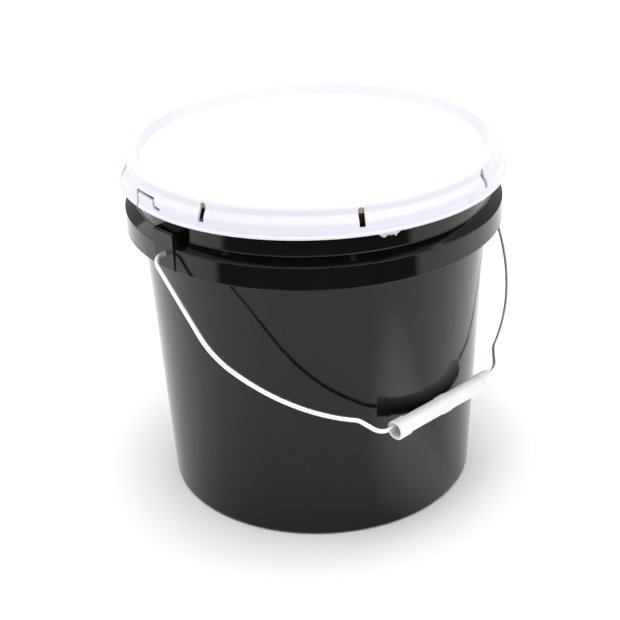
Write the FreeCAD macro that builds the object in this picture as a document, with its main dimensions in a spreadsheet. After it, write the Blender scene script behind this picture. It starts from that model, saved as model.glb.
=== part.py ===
# Plastic fermenting bucket: a tapered pail with a stacking skirt and two ears,
# a press-on lid with its rim gasket, and a wire bail with a loose tube grip.
# Millimetres, +Z up, origin at the centre of the pail's foot. The bail's pivot
# runs along X through both ears, and the bail hangs on the -Y side.
import FreeCAD, Part
import Sketcher
import math
import os

V = FreeCAD.Vector
doc = FreeCAD.newDocument("fermenting_bucket")
sheet = doc.addObject("Spreadsheet::Sheet", "Dims")

# ---------------------------------------------------------------- dimensions
ROWS = [
    # pail wall and foot
    ("base_rad", 103.6), ("wall_slope", 0.0493), ("wall_thick", 2.0),
    ("foot_rise", 3.6), ("floor_thick", 2.2), ("foot_inner", 96.0),
    # upper band, ledge and skirt
    ("neck_rad", 116.3), ("neck_bore", 114.5), ("ledge_high", 204.6),
    ("ledge_low", 200.0), ("ledge_rad", 122.9), ("skirt_low", 185.6),
    ("skirt_rad", 123.4), ("skirt_thick", 1.9), ("step_low", 203.0),
    ("step_high", 206.9), ("under_high", 203.2), ("under_low", 198.7),
    ("bead_rad", 118.2), ("bead_low", 223.4), ("rim_top", 228.9),
    ("rib_thick", 1.6), ("rib_count", 20), ("rib_start", 9.0),
    # ears
    ("ear_face", 123.8), ("ear_wide", 18.4), ("ear_top", 210.4),
    ("ear_plate", 2.8), ("ear_void_wide", 12.6), ("ear_void_top", 202.2),
    ("ear_void_in", 114.7), ("pivot_high", 195.7), ("ear_hole", 1.68),
    ("ear_soft", 0.4), ("ear_shift", 1.1),
    # lid
    ("lid_low_rad", 125.0), ("lid_low", 218.4), ("lid_wall", 1.8),
    ("lid_shoulder", 119.9), ("lid_top", 237.4), ("lid_waist_rad", 120.0),
    ("lid_waist_high", 231.4), ("lid_hip_rad", 122.9), ("lid_hip_high", 225.8),
    ("lid_hem_rad", 123.8), ("lid_hem_high", 220.3),
    ("well_rad", 112.8), ("well_lean", 2.8), ("well_out", 114.2), ("panel_top", 230.4),
    ("panel_thick", 2.0), ("plug_low", 220.8), ("roof_under", 235.3),
    ("slit_wide", 3.8), ("slit_deep", 117.7), ("slit_low", 223.0), ("slit_high", 234.2),
    ("slit_turn_a", 194.5), ("slit_turn_b", 239.7), ("slit_turn_c", 284.9),
    ("slit_turn_d", 329.7), ("slit_turn_e", 14.7), ("slit_turn_f", 59.7),
    ("slit_turn_g", 104.7), ("slit_turn_k", 149.7),
    ("tear_slit", 2.0), ("tear_left", 29.4), ("tear_left_low", 26.2),
    ("tear_right", 10.0), ("tear_turn", 8.0), ("tear_foot", 2.6),
    ("tear_low", 217.4), ("tear_high", 227.4), ("tear_mid", 223.1),
    # gasket
    ("gasket_in", 114.6), ("gasket_out", 117.6), ("gasket_low", 229.25),
    # bail
    ("wire_rad", 1.6), ("tail_in", 118.8), ("leg_left", 132.8), ("leg_right", 135.6),
    ("hook_bend", 6.45), ("shoulder_bend", 59.6), ("bow_rad", 141.95),
    ("bow_drop", 17.1), ("jog_out", 66.8), ("jog_in", 49.0),
    ("jog_bend", 10.0), ("jog_angle", 55.0), ("seat_drop", 157.1),
    ("hang_angle", 45.5), ("head_rad", 2.5), ("head_thick", 1.3),
    # grip
    ("grip_long", 90.0), ("grip_bore", 4.6), ("grip_rad", 5.55),
    ("collar_rad", 6.35), ("collar_long", 10.0), ("ring_rad", 6.0),
    ("ring_long", 6.4), ("grip_out", 1.95), ("grip_down", 1.95),
]


class Q:
    """A length with its expression text and its present value."""

    def __init__(self, text, value):
        self.text = text
        self.value = float(value)

    @staticmethod
    def of(other):
        return other if isinstance(other, Q) else Q("%.6g" % other, other)

    def __add__(self, other):
        o = Q.of(other)
        return Q("(%s + %s)" % (self.text, o.text), self.value + o.value)

    def __sub__(self, other):
        o = Q.of(other)
        return Q("(%s - %s)" % (self.text, o.text), self.value - o.value)

    def __mul__(self, other):
        o = Q.of(other)
        return Q("(%s * %s)" % (self.text, o.text), self.value * o.value)

    def __truediv__(self, other):
        o = Q.of(other)
        return Q("(%s / %s)" % (self.text, o.text), self.value / o.value)

    def __radd__(self, other):
        return Q.of(other) + self

    def __rsub__(self, other):
        return Q.of(other) - self

    def __rmul__(self, other):
        return Q.of(other) * self

    def __neg__(self):
        return Q("(0 - %s)" % self.text, -self.value)


def root(q):
    return Q("sqrt(%s)" % q.text, math.sqrt(q.value))


def sin_of(q):
    return Q("sin(%s * 1 deg)" % q.text, math.sin(math.radians(q.value)))


def cos_of(q):
    return Q("cos(%s * 1 deg)" % q.text, math.cos(math.radians(q.value)))


D = {}
sheet.set("A1", "dimension")
sheet.set("B1", "value")
for row, (word, number) in enumerate(ROWS, start=2):
    sheet.set("A%d" % row, word)
    sheet.set("B%d" % row, "%.10g" % number)
    sheet.setAlias("B%d" % row, word)
    D[word] = Q("Dims.%s" % word, number)
doc.recompute()
ZERO = Q("0", 0.0)


# ------------------------------------------------------------------- helpers
def new_body(name):
    body = doc.addObject("PartDesign::Body", name)
    body.Label = name
    return body


def origin_part(body, role):
    for item in body.Origin.OriginFeatures:
        if item.Role == role:
            return item
    raise RuntimeError(role)


def new_sketch(body, name, plane, turn=None, lift=None):
    sk = body.newObject("Sketcher::SketchObject", name)
    sk.AttachmentSupport = (origin_part(body, plane), [""])
    sk.MapMode = "FlatFace"
    if turn is not None:
        axis, angle = turn
        sk.AttachmentOffset = FreeCAD.Placement(
            V(0, 0, 0), FreeCAD.Rotation(axis, angle.value))
        sk.setExpression("AttachmentOffset.Rotation.Angle", "%s * 1 deg" % angle.text)
    if lift is not None:
        sk.AttachmentOffset = FreeCAD.Placement(V(0, 0, lift.value), FreeCAD.Rotation())
        sk.setExpression("AttachmentOffset.Base.z", lift.text)
    return sk


def pin(sk, geo, end, x, y, tag):
    """Ties one sketch point to its x and y dimensions."""
    for axis, q, kind in ((-2, x, "DistanceX"), (-1, y, "DistanceY")):
        if abs(q.value) < 1e-9:
            sk.addConstraint(Sketcher.Constraint("PointOnObject", geo, end, axis))
            continue
        index = sk.addConstraint(Sketcher.Constraint(kind, -1, 1, geo, end, q.value))
        word = "%s_%s" % (tag, "x" if kind == "DistanceX" else "y")
        sk.renameConstraint(index, word)
        sk.setExpression("Constraints.%s" % word, q.text)


def outline(sk, points):
    """Draws a closed straight-sided outline through dimensioned points."""
    points = [(Q.of(x), Q.of(y)) for x, y in points]
    n = len(points)
    for i in range(n):
        a, b = points[i], points[(i + 1) % n]
        sk.addGeometry(Part.LineSegment(V(a[0].value, a[1].value, 0),
                                        V(b[0].value, b[1].value, 0)), False)
    for i in range(n):
        sk.addConstraint(Sketcher.Constraint("Coincident", i, 2, (i + 1) % n, 1))
    for i, (x, y) in enumerate(points):
        pin(sk, i, 1, x, y, "p%d" % i)


def revolve(body, name, sk, axis="V_Axis"):
    feature = body.newObject("PartDesign::Revolution", name)
    feature.Profile = sk
    feature.ReferenceAxis = (sk, [axis])
    feature.Angle = 360.0
    sk.Visibility = False
    return feature


def pad(body, name, sk, length, mid=False):
    feature = body.newObject("PartDesign::Pad", name)
    feature.Profile = sk
    feature.Length = length.value
    feature.setExpression("Length", length.text)
    feature.Midplane = mid
    sk.Visibility = False
    return feature


def pocket(body, name, sk, length, mid=False, reverse=False):
    feature = body.newObject("PartDesign::Pocket", name)
    feature.Profile = sk
    feature.Length = length.value
    feature.setExpression("Length", length.text)
    feature.Midplane = mid
    feature.Reversed = reverse
    sk.Visibility = False
    return feature


def polar(body, name, originals, count, tag_sketch=None):
    feature = body.newObject("PartDesign::PolarPattern", name)
    feature.Originals = originals
    feature.Axis = (origin_part(body, "Z_Axis"), [""])
    feature.Angle = 360.0
    feature.Occurrences = int(count.value)
    feature.setExpression("Occurrences", count.text)
    body.Tip = feature
    return feature


def ring_edges(shape, wanted):
    """Names of the full-circle edges at the given radii and heights."""
    names = []
    for rad, high in wanted:
        found = None
        for i, edge in enumerate(shape.Edges, start=1):
            curve = edge.Curve
            if not isinstance(curve, Part.Circle):
                continue
            if abs(curve.Radius - rad) < 0.02 and abs(curve.Center.z - high) < 0.02:
                found = "Edge%d" % i
        if found is None:
            raise RuntimeError("no edge at %.2f %.2f" % (rad, high))
        names.append(found)
    return names


def fillet(body, name, base, wanted, size):
    doc.recompute()
    feature = body.newObject("PartDesign::Fillet", name)
    feature.Base = (base, ring_edges(base.Shape, wanted))
    feature.Radius = size
    doc.recompute()
    return feature


# ---------------------------------------------------------------------- pail
pail = new_body("pail")
wall_at = lambda z: D["base_rad"] + D["wall_slope"] * z
slope_out = wall_at(D["under_high"])
floor_top = D["foot_rise"] + D["floor_thick"]
shell = new_sketch(pail, "pail_profile", "XZ_Plane")
outline(shell, [
    (ZERO, D["foot_rise"]),
    (D["foot_inner"] - 1.6, D["foot_rise"]),
    (D["foot_inner"], D["foot_rise"] - 1.6),
    (D["foot_inner"] + 1.2, ZERO),
    (D["base_rad"], ZERO),
    (slope_out, D["under_high"]),
    (D["skirt_rad"] - D["skirt_thick"] - 0.5, D["under_low"]),
    (D["skirt_rad"] - D["skirt_thick"], D["skirt_low"]),
    (D["skirt_rad"], D["skirt_low"]),
    (D["ledge_rad"], D["ledge_low"]),
    (D["neck_rad"], D["ledge_high"]),
    (D["neck_rad"], D["bead_low"]),
    (D["bead_rad"], D["bead_low"] + 1.3),
    (D["bead_rad"], D["rim_top"]),
    (D["neck_bore"], D["rim_top"]),
    (D["neck_bore"], D["step_high"]),
    (wall_at(D["step_low"]) - D["wall_thick"], D["step_low"]),
    (wall_at(floor_top) - D["wall_thick"], floor_top),
    (ZERO, floor_top),
])
pail_turn = revolve(pail, "pail_shell", shell)
pail_soft = fillet(pail, "pail_foot_round", pail_turn,
                   [(D["base_rad"].value, 0.0)], 2.4)
pail_soft = fillet(pail, "pail_floor_round", pail_soft,
                   [(wall_at(floor_top).value - D["wall_thick"].value,
                     floor_top.value)], 4.0)
pail_soft = fillet(pail, "pail_ledge_round", pail_soft,
                   [(D["ledge_rad"].value, D["ledge_low"].value),
                    (D["neck_rad"].value, D["ledge_high"].value)], 0.8)
pail_soft = fillet(pail, "pail_rim_round", pail_soft,
                   [(D["bead_rad"].value, D["rim_top"].value),
                    (D["neck_bore"].value, D["rim_top"].value)], 1.0)
pail_soft = fillet(pail, "pail_skirt_round", pail_soft,
                   [(D["skirt_rad"].value, D["skirt_low"].value)], 0.6)

rib = new_sketch(pail, "rib_profile", "XZ_Plane", turn=(V(0, 1, 0), D["rib_start"]))
rib_in = wall_at(D["skirt_low"]) - 0.8
outline(rib, [
    (rib_in, D["skirt_low"] + 4.0),
    (D["skirt_rad"] - 1.2, D["skirt_low"] + 1.6),
    (D["skirt_rad"] - 1.2, D["under_low"] + 0.6),
    (rib_in, D["under_high"] + 0.6),
])
rib_pad = pad(pail, "rib", rib, D["rib_thick"], mid=True)
polar(pail, "rib_ring", [rib_pad], D["rib_count"])

ear = new_sketch(pail, "ear_profile", "XZ_Plane", lift=D["ear_shift"])
outline(ear, [
    (wall_at(D["skirt_low"]) - 0.9, D["skirt_low"]),
    (D["ear_face"] - 0.7, D["skirt_low"]),
    (D["ear_face"] - 0.7, D["ear_top"]),
    (D["neck_bore"] + 0.9, D["ear_top"]),
    (D["neck_bore"] + 0.9, D["step_high"]),
    (wall_at(D["step_low"]) - 0.9, D["step_low"]),
])
ear_pad = pad(pail, "ear_block", ear, D["ear_wide"], mid=True)
plate = new_sketch(pail, "ear_plate_profile", "XY_Plane", lift=D["skirt_low"] + 0.7)
ear_half = D["ear_wide"] / 2
outline(plate, [
    (D["ear_face"] - 2.3, -ear_half - D["ear_shift"]),
    (D["ear_face"] - D["ear_soft"], -ear_half - D["ear_shift"]),
    (D["ear_face"], D["ear_soft"] - ear_half - D["ear_shift"]),
    (D["ear_face"], ear_half - D["ear_soft"] - D["ear_shift"]),
    (D["ear_face"] - D["ear_soft"], ear_half - D["ear_shift"]),
    (D["ear_face"] - 2.3, ear_half - D["ear_shift"]),
])
ear_plate = pad(pail, "ear_plate", plate, D["ear_top"] - D["skirt_low"] - 1.6)

void = new_sketch(pail, "ear_void_profile", "XZ_Plane")
outline(void, [
    (D["ear_void_in"], D["skirt_low"] - 2.0),
    (D["ear_face"] - D["ear_plate"], D["skirt_low"] - 2.0),
    (D["ear_face"] - D["ear_plate"], D["ear_void_top"]),
    (D["ear_void_in"], D["ear_void_top"]),
])
ear_void = pocket(pail, "ear_void", void, D["ear_void_wide"], mid=True)

hole = new_sketch(pail, "ear_hole_profile", "YZ_Plane", lift=D["ear_face"] + 1.0)
hole.addGeometry(Part.Circle(V(0, D["pivot_high"].value, 0), V(0, 0, 1),
                             D["ear_hole"].value), False)
pin(hole, 0, 3, ZERO, D["pivot_high"], "c")
at = hole.addConstraint(Sketcher.Constraint("Radius", 0, D["ear_hole"].value))
hole.renameConstraint(at, "hole_rad")
hole.setExpression("Constraints.hole_rad", D["ear_hole"].text)
ear_hole = pocket(pail, "ear_hole", hole, D["ear_plate"] + 2.0)

ears = polar(pail, "ear_pair", [ear_pad, ear_plate, ear_void, ear_hole], Q("2", 2))
doc.recompute()

# ----------------------------------------------------------------------- lid
lid = new_body("lid")
cover = new_sketch(lid, "lid_profile", "XZ_Plane")
outline(cover, [
    (ZERO, D["panel_top"]),
    (D["well_rad"] - D["well_lean"], D["panel_top"]),
    (D["well_rad"] + 0.3, D["lid_top"]),
    (D["lid_shoulder"] - 4.2, D["lid_top"]),
    (D["lid_shoulder"] - 2.96, D["lid_top"] - 0.14),
    (D["lid_shoulder"] - 2.0, D["lid_top"] - 0.54),
    (D["lid_shoulder"] - 1.17, D["lid_top"] - 1.17),
    (D["lid_shoulder"] - 0.54, D["lid_top"] - 2.0),
    (D["lid_shoulder"] - 0.14, D["lid_top"] - 2.96),
    (D["lid_shoulder"], D["lid_top"] - 4.2),
    (D["lid_waist_rad"], D["lid_waist_high"]),
    (D["lid_waist_rad"] + 0.2, D["lid_waist_high"] - 0.65),
    (D["lid_waist_rad"] + 0.6, D["lid_waist_high"] - 1.3),
    (D["lid_hip_rad"] - 0.85, D["lid_hip_high"] + 2.0),
    (D["lid_hip_rad"] - 0.35, D["lid_hip_high"] + 1.0),
    (D["lid_hip_rad"], D["lid_hip_high"]),
    (D["lid_hip_rad"] + 0.3, D["lid_hip_high"] - 2.2),
    (D["lid_hem_rad"], D["lid_hem_high"]),
    (D["lid_low_rad"], D["lid_hem_high"] - 0.8),
    (D["lid_low_rad"], D["lid_low"]),
    (D["lid_low_rad"] - 1.6, D["lid_low"]),
    (D["lid_hip_rad"] - D["lid_wall"], D["lid_hip_high"] - 0.3),
    (D["lid_waist_rad"] + 0.6 - D["lid_wall"], D["lid_waist_high"] - 1.3),
    (D["lid_waist_rad"] - D["lid_wall"], D["lid_waist_high"]),
    (D["lid_shoulder"] - D["lid_wall"], D["roof_under"] - 1.6),
    (D["lid_shoulder"] - D["lid_wall"] - 1.3, D["roof_under"]),
    (D["well_out"], D["roof_under"]),
    (D["well_out"], D["plug_low"] + 1.2),
    (D["well_out"] - 0.7, D["plug_low"]),
    (D["well_rad"] - 0.2, D["plug_low"]),
    (D["well_rad"] - 0.2, D["panel_top"] - D["panel_thick"]),
    (ZERO, D["panel_top"] - D["panel_thick"]),
])
lid_turn = revolve(lid, "lid_shell", cover)
lid_soft = fillet(lid, "lid_well_round", lid_turn,
                  [(D["well_rad"].value + 0.3, D["lid_top"].value),
                   (D["well_rad"].value - D["well_lean"].value, D["panel_top"].value)], 0.8)


def facing_sketch(body, name, turn, reach):
    """A sketch plane that faces outwards at the given turn about the axis."""
    sk = body.newObject("Sketcher::SketchObject", name)
    sk.AttachmentSupport = (origin_part(body, "YZ_Plane"), [""])
    sk.MapMode = "FlatFace"
    aside, ahead = reach * sin_of(turn), reach * cos_of(turn)
    sk.AttachmentOffset = FreeCAD.Placement(
        V(aside.value, 0, ahead.value), FreeCAD.Rotation(V(0, 1, 0), turn.value))
    sk.setExpression("AttachmentOffset.Base.x", aside.text)
    sk.setExpression("AttachmentOffset.Base.z", ahead.text)
    sk.setExpression("AttachmentOffset.Rotation.Angle", turn.text + " * 1 deg")
    return sk


slit_out = D["lid_low_rad"] + 2.0
slit_half = D["slit_wide"] / 2
for word in "abcdefgk":
    slit = facing_sketch(lid, "slit_%s_profile" % word,
                         D["slit_turn_" + word], slit_out)
    outline(slit, [
        (-slit_half, D["slit_low"]),
        (slit_half, D["slit_low"]),
        (slit_half, D["slit_high"] - 1.3),
        (slit_half - 0.35, D["slit_high"] - 0.5),
        (slit_half - 1.0, D["slit_high"]),
        (1.0 - slit_half, D["slit_high"]),
        (0.35 - slit_half, D["slit_high"] - 0.5),
        (-slit_half, D["slit_high"] - 1.3),
    ])
    pocket(lid, "slit_" + word, slit, slit_out - D["slit_deep"])

# The pull tab is outlined by three slits in the lid's skirt above one ear.
# The first runs out through the hem. Each sketch lies on a plane beyond the
# -X side, and its cut runs inwards.
far_out = -(D["lid_low_rad"] + 2.0)
half_slit = D["tear_slit"] / 2
tab_shapes = {
    "tab_side": [(D["tear_left_low"] - half_slit, D["tear_low"]),
                 (D["tear_left_low"] + half_slit, D["tear_low"]),
                 (D["tear_left"] + half_slit, D["tear_high"] + half_slit),
                 (D["tear_left"] - half_slit, D["tear_high"] + half_slit)],
    "tab_top": [(D["tear_right"] - half_slit, D["tear_high"] - half_slit),
                (D["tear_left"] + half_slit - 0.2, D["tear_high"] - half_slit),
                (D["tear_left"] + half_slit - 0.2, D["tear_high"] + half_slit),
                (D["tear_right"] - half_slit + 0.5, D["tear_high"] + half_slit)],
    "tab_foot": [(D["tear_right"] + half_slit, D["tear_high"]),
                 (D["tear_turn"] + half_slit, D["tear_mid"] - half_slit),
                 (D["tear_foot"], D["tear_mid"] - half_slit - 0.4),
                 (D["tear_foot"], D["tear_mid"] + half_slit - 0.4),
                 (D["tear_turn"] - half_slit, D["tear_mid"] + half_slit - 0.1),
                 (D["tear_right"] - half_slit, D["tear_high"])],
}
for word in ("tab_side", "tab_top", "tab_foot"):
    tab = new_sketch(lid, word + "_profile", "YZ_Plane", lift=far_out)
    outline(tab, tab_shapes[word])
    pocket(lid, word, tab, Q("10.8", 10.8), reverse=True)
doc.recompute()

# -------------------------------------------------------------------- gasket
gasket = new_body("lid_gasket")
band = new_sketch(gasket, "gasket_profile", "XZ_Plane")
outline(band, [
    (D["gasket_in"], D["gasket_low"] + 0.5),
    (D["gasket_in"] + 0.6, D["gasket_low"]),
    (D["gasket_out"] - 0.6, D["gasket_low"]),
    (D["gasket_out"], D["gasket_low"] + 0.5),
    (D["gasket_out"], D["roof_under"] - 1.7),
    (D["gasket_out"] - 1.1, D["roof_under"]),
    (D["gasket_in"] + 0.4, D["roof_under"]),
    (D["gasket_in"], D["roof_under"] - 0.4),
])
revolve(gasket, "gasket_ring", band)

# ---------------------------------------------------------------------- bail
bail = new_body("bail_wire")
hook, big, drop = D["hook_bend"], D["bow_rad"], D["bow_drop"]
soft = D["shoulder_bend"]
sin_a = D["jog_out"] / big
cos_a = root(1 - sin_a * sin_a)
sin_b, cos_b = sin_of(D["jog_angle"]), cos_of(D["jog_angle"])
jog_one = D["jog_bend"]
bow_end = drop + big * cos_a
left_u = D["jog_out"] - D["jog_in"] - jog_one * (sin_b - sin_a)
left_s = D["seat_drop"] - bow_end - jog_one * (cos_a - cos_b)
ramp = (left_s * sin_b - left_u * (1 - cos_b)) / (1 - cos_b)
jog_two = (left_u - ramp * cos_b) / sin_b
u6 = D["jog_out"] - jog_one * (sin_b - sin_a)
s6 = bow_end + jog_one * (cos_a - cos_b)
bow = [
    (D["jog_out"], -bow_end), (u6, -s6),
    (u6 - ramp * cos_b, -(s6 + ramp * sin_b)), (D["jog_in"], -D["seat_drop"]),
]


def arm(leg):
    """Corner points of one side of the wire, from its tail to the bow."""
    rise = root((big - soft) * (big - soft) - (leg - soft) * (leg - soft))
    return [
        (D["tail_in"], ZERO), (leg - hook, ZERO), (leg, -hook), (leg, -(drop + rise)),
        (big * (leg - soft) / (big - soft), -(drop + big * rise / (big - soft))),
    ]


stops = arm(D["leg_right"]) + bow
mirrored = arm(D["leg_left"]) + bow
# each span: None for a straight one, or its radius and the side its centre is on
spans = [None, (hook, 1), None, (soft, 1), (big, 1), (jog_one, -1), None, (jog_two, 1)]
stops = stops + [(-x, y) for x, y in reversed(mirrored)]
spans = spans + [None] + list(reversed(spans))


def bulge(a, b, rad, side):
    """Middle point of the arc from a to b whose centre is on the given side."""
    mx, my = (a[0] + b[0]) / 2, (a[1] + b[1]) / 2
    dx, dy = b[0] - a[0], b[1] - a[1]
    chord = math.hypot(dx, dy)
    rise_ = rad - math.sqrt(max(rad * rad - chord * chord / 4, 0.0))
    return (mx - side * rise_ * dy / chord, my + side * rise_ * dx / chord)


path = new_sketch(bail, "bail_path", "XZ_Plane")
count = len(spans)
for i, span in enumerate(spans):
    a = (stops[i][0].value, stops[i][1].value)
    b = (stops[i + 1][0].value, stops[i + 1][1].value)
    if span is None:
        path.addGeometry(Part.LineSegment(V(a[0], a[1], 0), V(b[0], b[1], 0)), False)
    else:
        c = bulge(a, b, span[0].value, span[1])
        path.addGeometry(Part.Arc(V(a[0], a[1], 0), V(c[0], c[1], 0),
                                  V(b[0], b[1], 0)), False)


def end_of(sk, index, x, y):
    """Which end of a sketch edge lies at the given point."""
    return 1 if (sk.getPoint(index, 1) - V(x, y, 0)).Length < 1e-4 else 2


for i in range(count - 1):
    x, y = stops[i + 1][0].value, stops[i + 1][1].value
    path.addConstraint(Sketcher.Constraint(
        "Coincident", i, end_of(path, i, x, y), i + 1, end_of(path, i + 1, x, y)))
for i in range(count):
    x, y = stops[i]
    pin(path, i, end_of(path, i, x.value, y.value), x, y, "p%d" % i)
x, y = stops[count]
pin(path, count - 1, end_of(path, count - 1, x.value, y.value), x, y, "p%d" % count)
for i, span in enumerate(spans):
    if span is not None:
        at = path.addConstraint(Sketcher.Constraint("Radius", i, span[0].value))
        path.renameConstraint(at, "bend%d" % i)
        path.setExpression("Constraints.bend%d" % i, span[0].text)

rod = new_sketch(bail, "wire_section", "YZ_Plane", lift=D["tail_in"])
rod.addGeometry(Part.Circle(V(0, 0, 0), V(0, 0, 1), D["wire_rad"].value), False)
rod.addConstraint(Sketcher.Constraint("Coincident", 0, 3, -1, 1))
at = rod.addConstraint(Sketcher.Constraint("Radius", 0, D["wire_rad"].value))
rod.renameConstraint(at, "round_size")
rod.setExpression("Constraints.round_size", D["wire_rad"].text)
sweep = bail.newObject("PartDesign::AdditivePipe", "bail_bend")
sweep.Profile = rod
sweep.Spine = (path, ["Edge%d" % (i + 1) for i in range(count)])
rod.Visibility = False
path.Visibility = False
heads = []
for word, sign in (("head_right", 1), ("head_left", -1)):
    start = D["tail_in"] if sign > 0 else -D["tail_in"]
    knob = new_sketch(bail, word + "_profile", "YZ_Plane", lift=start)
    knob.addGeometry(Part.Circle(V(0, 0, 0), V(0, 0, 1), D["head_rad"].value), False)
    knob.addConstraint(Sketcher.Constraint("Coincident", 0, 3, -1, 1))
    at = knob.addConstraint(Sketcher.Constraint("Radius", 0, D["head_rad"].value))
    knob.renameConstraint(at, "round_size")
    knob.setExpression("Constraints.round_size", D["head_rad"].text)
    heads.append(pad(bail, word, knob, D["head_thick"]))
    heads[-1].Reversed = sign < 0
bail.Placement = FreeCAD.Placement(V(0, 0, D["pivot_high"].value),
                                   FreeCAD.Rotation(V(-1, 0, 0), D["hang_angle"].value))
bail.setExpression("Placement.Base.z", D["pivot_high"].text)
bail.setExpression("Placement.Rotation.Angle", D["hang_angle"].text + " * 1 deg")

# ---------------------------------------------------------------------- grip
grip = new_body("grip")
half_long = D["grip_long"] / 2
half_ring = D["ring_long"] / 2
tube = new_sketch(grip, "grip_profile", "XY_Plane")
right = [
    (half_ring, D["ring_rad"]),
    (half_ring + 0.5, D["grip_rad"]),
    (half_long - D["collar_long"] - 0.6, D["grip_rad"]),
    (half_long - D["collar_long"], D["collar_rad"] - 0.2),
    (half_long - D["collar_long"] + 0.5, D["collar_rad"]),
    (half_long - 0.8, D["collar_rad"]),
    (half_long, D["collar_rad"] - 0.7),
    (half_long, D["grip_bore"] + 0.4),
    (half_long - 0.5, D["grip_bore"]),
]
outline(tube, right + [(-x, y) for x, y in reversed(right)])
revolve(grip, "grip_tube", tube, axis="H_Axis")
seat_y = D["seat_drop"] * sin_of(D["hang_angle"]) + D["grip_out"]
seat_z = D["pivot_high"] - D["seat_drop"] * cos_of(D["hang_angle"]) - D["grip_down"]
grip.Placement = FreeCAD.Placement(V(0, -seat_y.value, seat_z.value), FreeCAD.Rotation())
grip.setExpression("Placement.Base.y", (-seat_y).text)
grip.setExpression("Placement.Base.z", seat_z.text)

# ------------------------------------------------------------ check and save
doc.recompute()
for item in doc.Objects:
    state = [s for s in item.State if s in ("Invalid", "Error")]
    if state:
        raise RuntimeError("%s is %s" % (item.Name, state))
os.makedirs("parts", exist_ok=True)
for body in (pail, lid, gasket, bail, grip):
    shape = body.Shape
    if shape.isNull() or not shape.isValid() or not shape.Solids:
        raise RuntimeError(body.Name)
    box = shape.BoundBox
    print(body.Name, "solids", len(shape.Solids), "volume", round(shape.Volume, 1),
          "box", [round(v, 2) for v in (box.XMin, box.YMin, box.ZMin,
                                        box.XMax, box.YMax, box.ZMax)])
    shape.exportStep("parts/%s.step" % body.Name)
print("grip axis at y %.4f z %.4f" % (-seat_y.value, seat_z.value))
print("gap grip ring to wall %.3f" % (
    seat_y.value - D["ring_rad"].value - wall_at(seat_z).value))
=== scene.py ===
import math
import bpy
from mathutils import Matrix, Vector


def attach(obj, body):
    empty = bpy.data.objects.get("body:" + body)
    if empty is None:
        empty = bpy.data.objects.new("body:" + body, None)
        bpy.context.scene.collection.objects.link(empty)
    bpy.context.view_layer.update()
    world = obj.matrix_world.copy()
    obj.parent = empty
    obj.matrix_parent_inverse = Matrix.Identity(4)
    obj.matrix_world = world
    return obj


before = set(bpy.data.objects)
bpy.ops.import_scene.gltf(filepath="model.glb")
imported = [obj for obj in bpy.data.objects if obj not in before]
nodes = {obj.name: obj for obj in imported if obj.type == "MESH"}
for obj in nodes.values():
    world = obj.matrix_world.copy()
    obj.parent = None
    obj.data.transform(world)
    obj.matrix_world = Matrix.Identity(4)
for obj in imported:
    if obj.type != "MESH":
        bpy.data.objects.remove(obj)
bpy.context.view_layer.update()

scene = bpy.context.scene
scene.view_settings.view_transform = "Standard"


# ------------------------------------------------------------------ materials
def new_material(name, slot_colour):
    mat = bpy.data.materials.new(name)
    mat.use_nodes = True
    mat.diffuse_color = (*slot_colour, 1.0)
    tree = mat.node_tree
    tree.nodes.clear()
    out = tree.nodes.new("ShaderNodeOutputMaterial")
    shader = tree.nodes.new("ShaderNodeBsdfPrincipled")
    tree.links.new(shader.outputs["BSDF"], out.inputs["Surface"])
    coords = tree.nodes.new("ShaderNodeTexCoord")
    return mat, tree, shader, coords.outputs["Object"]


def noise(tree, vector, scale, detail=3.0, rough=0.5, stretch=None):
    if stretch is not None:
        mapping = tree.nodes.new("ShaderNodeMapping")
        mapping.inputs["Scale"].default_value = stretch
        tree.links.new(vector, mapping.inputs["Vector"])
        vector = mapping.outputs["Vector"]
    node = tree.nodes.new("ShaderNodeTexNoise")
    node.inputs["Scale"].default_value = scale
    node.inputs["Detail"].default_value = detail
    node.inputs["Roughness"].default_value = rough
    tree.links.new(vector, node.inputs["Vector"])
    return node.outputs["Fac"]


def ramp(tree, fac, stops):
    node = tree.nodes.new("ShaderNodeValToRGB")
    elements = node.color_ramp.elements
    while len(elements) < len(stops):
        elements.new(0.5)
    for element, (at, colour) in zip(elements, stops):
        element.position = at
        element.color = (*colour, 1.0) if len(colour) == 3 else colour
    tree.links.new(fac, node.inputs["Fac"])
    return node.outputs["Color"]


def spread(tree, fac, low, high, at_low=0.3, at_high=0.7):
    node = tree.nodes.new("ShaderNodeMapRange")
    node.inputs["From Min"].default_value = at_low
    node.inputs["From Max"].default_value = at_high
    node.inputs["To Min"].default_value = low
    node.inputs["To Max"].default_value = high
    tree.links.new(fac, node.inputs["Value"])
    return node.outputs["Result"]


def bump(tree, height, strength, distance, under=None):
    node = tree.nodes.new("ShaderNodeBump")
    node.inputs["Strength"].default_value = strength
    node.inputs["Distance"].default_value = distance
    tree.links.new(height, node.inputs["Height"])
    if under is not None:
        tree.links.new(under, node.inputs["Normal"])
    return node.outputs["Normal"]


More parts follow.
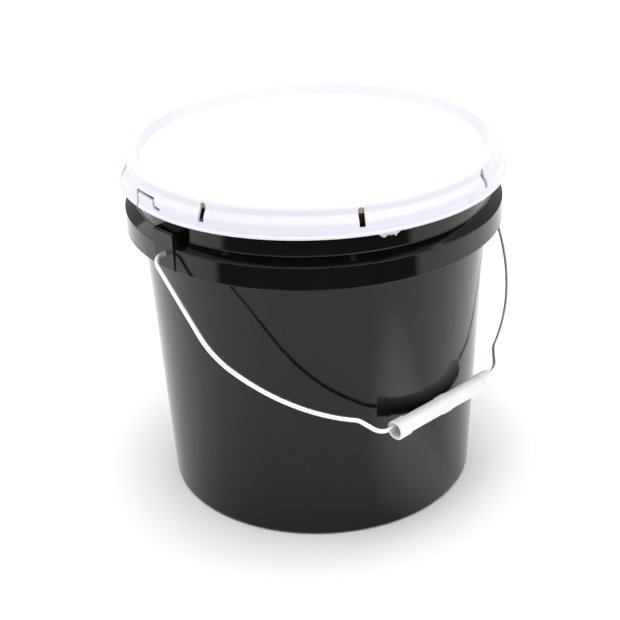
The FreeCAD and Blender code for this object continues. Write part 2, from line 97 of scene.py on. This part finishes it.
def black_plastic():
    mat, tree, shader, at = new_material("black_pail_plastic", (0.02, 0.019, 0.018))
    blotch = noise(tree, at, 14.0, 4.0, 0.55)
    colour = ramp(tree, blotch, [(0.3, (0.0022, 0.0018, 0.0015)), (0.7, (0.0042, 0.0035, 0.0029))])
    dust = tree.nodes.new("ShaderNodeTexVoronoi")
    dust.inputs["Scale"].default_value = 36.0
    tree.links.new(at, dust.inputs["Vector"])
    rare = noise(tree, at, 23.0, 1.0, 0.5)
    speck = tree.nodes.new("ShaderNodeMath")
    speck.operation = "MULTIPLY"
    tree.links.new(spread(tree, dust.outputs["Distance"], 1.0, 0.0, 0.012, 0.022), speck.inputs[0])
    tree.links.new(spread(tree, rare, 0.0, 1.0, 0.56, 0.60), speck.inputs[1])
    dusty = tree.nodes.new("ShaderNodeMix")
    dusty.data_type = "RGBA"
    tree.links.new(speck.outputs["Value"], dusty.inputs["Factor"])
    tree.links.new(colour, dusty.inputs["A"])
    dusty.inputs["B"].default_value = (0.42, 0.40, 0.37, 1.0)
    tree.links.new(dusty.outputs["Result"], shader.inputs["Base Color"])
    cloud = noise(tree, at, 30.0, 5.0, 0.6)
    smear = noise(tree, at, 9.0, 3.0, 0.5, stretch=(1.0, 1.0, 0.35))
    haze = tree.nodes.new("ShaderNodeMath")
    haze.operation = "MULTIPLY"
    tree.links.new(cloud, haze.inputs[0])
    tree.links.new(smear, haze.inputs[1])
    tree.links.new(spread(tree, haze.outputs["Value"], 0.055, 0.13, 0.12, 0.4), shader.inputs["Roughness"])
    wave = bump(tree, noise(tree, at, 11.0, 1.0, 0.4), 0.10, 0.003)
    ripple = bump(tree, noise(tree, at, 55.0, 2.0, 0.5), 0.05, 0.0006, wave)
    grain = bump(tree, noise(tree, at, 1300.0, 2.0, 0.5), 0.03, 0.00015, ripple)
    tree.links.new(grain, shader.inputs["Normal"])
    shader.inputs["IOR"].default_value = 1.36
    shader.inputs["Specular Tint"].default_value = (1.0, 0.975, 0.94, 1.0)
    return mat


def lid_plastic():
    mat, tree, shader, at = new_material("white_lid_plastic", (0.86, 0.86, 0.92))
    blotch = noise(tree, at, 20.0, 4.0, 0.5)
    colour = ramp(tree, blotch, [(0.3, (0.715, 0.715, 0.80)), (0.7, (0.735, 0.735, 0.82))])
    tree.links.new(colour, shader.inputs["Base Color"])
    tree.links.new(spread(tree, noise(tree, at, 60.0, 4.0), 0.26, 0.38), shader.inputs["Roughness"])
    shader.inputs["IOR"].default_value = 1.42
    wave = bump(tree, noise(tree, at, 16.0, 2.0, 0.4), 0.12, 0.003)
    grain = bump(tree, noise(tree, at, 1100.0, 2.0, 0.5), 0.08, 0.0002, wave)
    tree.links.new(grain, shader.inputs["Normal"])
    return mat


def gasket_rubber():
    mat, tree, shader, at = new_material("tan_gasket_rubber", (0.6, 0.48, 0.32))
    colour = ramp(tree, noise(tree, at, 90.0, 5.0, 0.6), [(0.3, (0.46, 0.34, 0.20)), (0.7, (0.6, 0.47, 0.30))])
    tree.links.new(colour, shader.inputs["Base Color"])
    tree.links.new(spread(tree, noise(tree, at, 240.0), 0.55, 0.75), shader.inputs["Roughness"])
    tree.links.new(bump(tree, noise(tree, at, 900.0, 4.0), 0.3, 0.0004), shader.inputs["Normal"])
    return mat


def plated_wire():
    mat, tree, shader, at = new_material("bright_plated_wire", (0.75, 0.77, 0.8))
    colour = ramp(tree, noise(tree, at, 70.0, 5.0, 0.6), [(0.3, (0.74, 0.78, 0.83)), (0.7, (0.86, 0.88, 0.92))])
    tree.links.new(colour, shader.inputs["Base Color"])
    shader.inputs["Metallic"].default_value = 0.75
    tree.links.new(spread(tree, noise(tree, at, 120.0, 4.0, 0.6), 0.10, 0.20), shader.inputs["Roughness"])
    draw = bump(tree, noise(tree, at, 160.0, 2.0, 0.5), 0.05, 0.0003)
    tree.links.new(draw, shader.inputs["Normal"])
    return mat


def grip_plastic():
    mat, tree, shader, at = new_material("white_grip_plastic", (0.88, 0.88, 0.9))
    colour = ramp(tree, noise(tree, at, 60.0, 4.0, 0.5), [(0.3, (0.82, 0.82, 0.85)), (0.7, (0.87, 0.87, 0.89))])
    tree.links.new(colour, shader.inputs["Base Color"])
    tree.links.new(spread(tree, noise(tree, at, 130.0, 4.0), 0.32, 0.45), shader.inputs["Roughness"])
    along = noise(tree, at, 260.0, 3.0, 0.5, stretch=(0.15, 1.0, 1.0))
    tree.links.new(bump(tree, along, 0.12, 0.0003), shader.inputs["Normal"])
    return mat


LOOKS = {
    "pail": black_plastic(),
    "lid": lid_plastic(),
    "lid_gasket": gasket_rubber(),
    "bail_wire": plated_wire(),
    "grip": grip_plastic(),
}
for word, mat in LOOKS.items():
    node = nodes[word]
    node.data.materials.clear()
    node.data.materials.append(mat)


# ------------------------------------------------------- moulding flash on lid
def lid_flash():
    """The thin ragged strip of flash that hangs under the lid's hem."""
    depths = [(243.6, 0.0), (244.2, 0.7), (244.7, 1.5), (245.2, 2.1), (245.7, 1.9),
              (246.2, 1.4), (246.7, 1.1), (247.1, 1.35), (247.5, 1.5), (247.9, 1.1),
              (248.3, 1.6), (248.7, 2.3), (249.0, 1.8), (249.4, 1.0), (249.9, 0.35), (250.2, 0.0)]
    count = 140
    points, faces = [], []
    for k in range(count + 1):
        turn = depths[0][0] + (depths[-1][0] - depths[0][0]) * k / count
        deep = 0.0
        for (a, da), (b, db) in zip(depths, depths[1:]):
            if a <= turn <= b:
                deep = da + (db - da) * (turn - a) / (b - a)
        deep = deep * 1.25 + 0.25 * math.sin(k * 1.9) * math.sin(k * 0.53) * min(1.0, deep)
        lean = 0.22 * math.sin(k * 0.31) + 0.1 * math.sin(k * 1.13)
        c, n = math.cos(math.radians(turn)), math.sin(math.radians(turn))
        for rad, high in ((124.9, 218.7), (124.85 + lean, 218.4 - deep * 0.55),
                          (124.6 + lean, 218.36 - deep), (124.45 + lean, 218.36 - deep),
                          (124.4 + lean, 218.4 - deep * 0.5), (124.3, 218.7)):
            points.append((rad * c / 1000, rad * n / 1000, high / 1000))
    for k in range(count):
        for q in range(6):
            a, b = k * 6 + q, k * 6 + (q + 1) % 6
            faces.append((a, b, b + 6, a + 6))
    faces.append((5, 4, 3, 2, 1, 0))
    faces.append(tuple(count * 6 + q for q in range(6)))
    mesh = bpy.data.meshes.new("lid_flash")
    mesh.from_pydata(points, [], faces)
    mesh.validate()
    mesh.update()
    for poly in mesh.polygons:
        poly.use_smooth = True
    mat, tree, shader, at = new_material("lid_flash_plastic", (0.86, 0.84, 0.84))
    colour = ramp(tree, noise(tree, at, 300.0, 3.0), [(0.3, (0.46, 0.43, 0.42)), (0.7, (0.68, 0.65, 0.65))])
    tree.links.new(colour, shader.inputs["Base Color"])
    tree.links.new(spread(tree, noise(tree, at, 500.0, 3.0), 0.4, 0.6), shader.inputs["Roughness"])
    mesh.materials.append(mat)
    obj = bpy.data.objects.new("lid_flash", mesh)
    scene.collection.objects.link(obj)
    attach(obj, "lid")


lid_flash()


# ---------------------------------------------------------------- floor, light
def floor():
    mat, tree, shader, at = new_material("pale_floor_painted_glow", (0.9, 0.9, 0.9))
    colour = ramp(tree, noise(tree, at, 3.0, 3.0), [(0.3, (0.90, 0.90, 0.90)), (0.7, (0.92, 0.92, 0.92))])
    tree.links.new(colour, shader.inputs["Base Color"])
    shader.inputs["Roughness"].default_value = 0.9
    shader.inputs["Specular IOR Level"].default_value = 0.1
    # Painted light: the floor's emission rises with distance from the object (0.02 at 0.115 m up to 0.52 at 0.60 m),
    # so the floor glows brighter further out and keeps a painted shade near the base.
    reach = tree.nodes.new("ShaderNodeVectorMath")
    reach.operation = "LENGTH"
    tree.links.new(at, reach.inputs[0])
    shader.inputs["Emission Color"].default_value = (1.0, 1.0, 1.0, 1.0)
    tree.links.new(spread(tree, reach.outputs["Value"], 0.02, 0.52, 0.115, 0.60), shader.inputs["Emission Strength"])
    mesh = bpy.data.meshes.new("floor")
    size = 6.0
    mesh.from_pydata([(-size, -size, 0), (size, -size, 0), (size, size, 0), (-size, size, 0)], [], [(0, 1, 2, 3)])
    mesh.materials.append(mat)
    obj = bpy.data.objects.new("floor", mesh)
    scene.collection.objects.link(obj)


def area(name, place, aim, wide, high, watts, colour=(1.0, 1.0, 1.0)):
    lamp = bpy.data.lights.new(name, "AREA")
    lamp.shape = "RECTANGLE"
    lamp.size, lamp.size_y = wide, high
    lamp.energy = watts
    lamp.color = colour
    obj = bpy.data.objects.new(name, lamp)
    obj.location = place
    obj.rotation_euler = (Vector(aim) - Vector(place)).to_track_quat("-Z", "Y").to_euler()
    scene.collection.objects.link(obj)
    return obj


def painted_dark_reflection(name, middle, half, near, far, edge, rim, shade):
    """A soft-edged grey ring sector on the floor, seen only in the gloss: a painted dark reflection."""
    mat, tree, shader, at = new_material(name, (shade, shade, shade))
    shader.inputs["Base Color"].default_value = (shade, shade * 0.97, shade * 0.93, 1.0)
    shader.inputs["Roughness"].default_value = 1.0
    shader.inputs["Specular IOR Level"].default_value = 0.0
    reach = tree.nodes.new("ShaderNodeVectorMath")
    reach.operation = "LENGTH"
    tree.links.new(at, reach.inputs[0])
    split = tree.nodes.new("ShaderNodeSeparateXYZ")
    tree.links.new(at, split.inputs["Vector"])
    turn = tree.nodes.new("ShaderNodeMath")
    turn.operation = "ARCTAN2"
    tree.links.new(split.outputs["Y"], turn.inputs[0])
    tree.links.new(split.outputs["X"], turn.inputs[1])
    aside = tree.nodes.new("ShaderNodeMath")
    aside.operation = "ABSOLUTE"
    tree.links.new(turn.outputs["Value"], aside.inputs[0])
    parts = [
        spread(tree, aside.outputs["Value"], 1.0, 0.0, math.radians(half - edge), math.radians(half)),
        spread(tree, reach.outputs["Value"], 0.0, 1.0, near, near + rim),
        spread(tree, reach.outputs["Value"], 1.0, 0.0, far - rim, far),
    ]
    amount = parts[0]
    for other in parts[1:]:
        both = tree.nodes.new("ShaderNodeMath")
        both.operation = "MULTIPLY"
        tree.links.new(amount, both.inputs[0])
        tree.links.new(other, both.inputs[1])
        amount = both.outputs["Value"]
    clear = tree.nodes.new("ShaderNodeBsdfTransparent")
    blend = tree.nodes.new("ShaderNodeMixShader")
    tree.links.new(amount, blend.inputs["Fac"])
    tree.links.new(clear.outputs["BSDF"], blend.inputs[1])
    tree.links.new(shader.outputs["BSDF"], blend.inputs[2])
    tree.links.new(blend.outputs["Shader"], tree.nodes["Material Output"].inputs["Surface"])
    mesh = bpy.data.meshes.new(name)
    corners = sector(near, far, -half, half)
    mesh.from_pydata([(x, y, 0.0) for x, y in corners], [], [tuple(range(len(corners)))])
    mesh.materials.append(mat)
    obj = bpy.data.objects.new(name, mesh)
    obj.location = (0.0, 0.0, 0.0015)
    obj.rotation_euler = (0.0, 0.0, math.radians(middle))
    scene.collection.objects.link(obj)
    obj.visible_camera = False
    obj.visible_diffuse = False
    obj.visible_shadow = False
    obj.visible_transmission = False
    return obj


def glow(name, middle, wide, long, watts):
    """A soft glowing patch on the floor, seen only in the gloss of the object: a painted bright reflection."""
    mat, tree, shader, at = new_material(name, (1.0, 1.0, 1.0))
    shader.inputs["Base Color"].default_value = (0.0, 0.0, 0.0, 1.0)
    shader.inputs["Specular IOR Level"].default_value = 0.0
    shader.inputs["Emission Color"].default_value = (1.0, 1.0, 1.0, 1.0)
    shader.inputs["Emission Strength"].default_value = watts
    reach = tree.nodes.new("ShaderNodeVectorMath")
    reach.operation = "LENGTH"
    tree.links.new(at, reach.inputs[0])
    clear = tree.nodes.new("ShaderNodeBsdfTransparent")
    blend = tree.nodes.new("ShaderNodeMixShader")
    tree.links.new(spread(tree, reach.outputs["Value"], 0.8, 0.0, 0.2, 1.0), blend.inputs["Fac"])
    tree.links.new(clear.outputs["BSDF"], blend.inputs[1])
    tree.links.new(shader.outputs["BSDF"], blend.inputs[2])
    tree.links.new(blend.outputs["Shader"], tree.nodes["Material Output"].inputs["Surface"])
    turns = [math.radians(15.0 * k) for k in range(24)]
    mesh = bpy.data.meshes.new(name)
    mesh.from_pydata([(math.cos(a), math.sin(a), 0.0) for a in turns], [], [tuple(range(24))])
    mesh.materials.append(mat)
    obj = bpy.data.objects.new(name, mesh)
    obj.location = (middle[0], middle[1], 0.002)
    obj.scale = (wide, long, 1.0)
    scene.collection.objects.link(obj)
    obj.visible_camera = False
    obj.visible_diffuse = False
    obj.visible_shadow = False
    obj.visible_transmission = False
    return obj


def sector(near, far, start, stop, steps=24):
    turns = [math.radians(start + (stop - start) * k / steps) for k in range(steps + 1)]
    inner = [(near * math.cos(a), near * math.sin(a)) for a in turns]
    outer = [(far * math.cos(a), far * math.sin(a)) for a in reversed(turns)]
    return inner + outer


def band(name, start, stop, low, high, watts, far=2.6, steps=20, rows=6):
    """A curved glowing band around the object, seen only in its gloss: it paints highlights and reflections."""
    mat, tree, shader, at = new_material(name, (1.0, 1.0, 1.0))
    shader.inputs["Base Color"].default_value = (0.0, 0.0, 0.0, 1.0)
    shader.inputs["Specular IOR Level"].default_value = 0.0
    shader.inputs["Emission Color"].default_value = (1.0, 1.0, 1.0, 1.0)
    shader.inputs["Emission Strength"].default_value = watts
    points, faces = [], []
    for r in range(rows + 1):
        tilt = math.radians(low + (high - low) * r / rows)
        for k in range(steps + 1):
            turn = math.radians(start + (stop - start) * k / steps)
            points.append((far * math.cos(tilt) * math.cos(turn),
                           far * math.cos(tilt) * math.sin(turn),
                           0.2 + far * math.sin(tilt)))
    for r in range(rows):
        for k in range(steps):
            a = r * (steps + 1) + k
            faces.append((a, a + 1, a + steps + 2, a + steps + 1))
    mesh = bpy.data.meshes.new(name)
    mesh.from_pydata(points, [], faces)
    mesh.materials.append(mat)
    obj = bpy.data.objects.new(name, mesh)
    scene.collection.objects.link(obj)
    obj.visible_camera = False
    obj.visible_diffuse = False
    obj.visible_shadow = False
    obj.visible_transmission = False


floor()
world = bpy.data.worlds.new("studio")
world.use_nodes = True
scene.world = world
world.node_tree.nodes["Background"].inputs["Color"].default_value = (1.0, 1.0, 1.0, 1.0)
sky = world.node_tree
sky.nodes["Background"].inputs["Strength"].default_value = 0.52
seen = sky.nodes.new("ShaderNodeLightPath")
level = sky.nodes.new("ShaderNodeMapRange")
level.inputs["To Min"].default_value = 0.52
level.inputs["To Max"].default_value = 1.0
sky.links.new(seen.outputs["Is Camera Ray"], level.inputs["Value"])
sky.links.new(level.outputs["Result"], sky.nodes["Background"].inputs["Strength"])

area("overhead_softbox", (0.0, 0.0, 1.7), (0, 0, 0.1), 1.9, 1.9, 37.0).visible_glossy = False
area("left_softbox", (-1.6, 0.3, 1.2), (0, 0, 0.12), 1.1, 1.1, 0.2)
area("right_softbox", (-0.15, -1.7, 1.1), (0, 0, 0.12), 0.9, 0.9, 1.2)
# Grey sector in front seen only in the gloss: a painted dark reflection in the neck and skirt.
painted_dark_reflection("front_painted_dark_reflection", 227.5, 57.0, 0.46, 0.86, 4.5, 0.10, 0.11)
# Glowing patch seen only in the gloss: a painted bright reflection.
glow("front_glow", (0.005, -0.235), 0.075, 0.15, 2.8)
# Glowing bands seen only in the gloss: painted highlights on the ledge edges, wire and grip.
band("left_painted_highlight", 92.0, 150.0, 10.0, 44.0, 2.2)
band("front_painted_highlight", 150.0, 240.0, 14.0, 60.0, 1.6)
band("right_painted_highlight", 240.0, 338.0, 12.0, 52.0, 2.2)

# --------------------------------------------------------------------- camera
right = Vector((0.7218427135084541, -0.6912826871544128, -0.032731382423084876))
up = Vector((0.3290830477950219, 0.30125591526000195, 0.8949576644594972))
ahead = Vector((0.6088082166074069, 0.6567900120749651, -0.44494880090845945))
cam = bpy.data.cameras.new("camera")
cam.sensor_width = 36.0
cam.lens = 78.5015
cam.clip_start = 0.01
cam_obj = bpy.data.objects.new("camera", cam)
turn = Matrix((right, up, -ahead)).transposed().to_4x4()
cam_obj.matrix_world = Matrix.Translation((-0.5667691, -0.6039702, 0.5239261)) @ turn
scene.collection.objects.link(cam_obj)
scene.camera = cam_obj
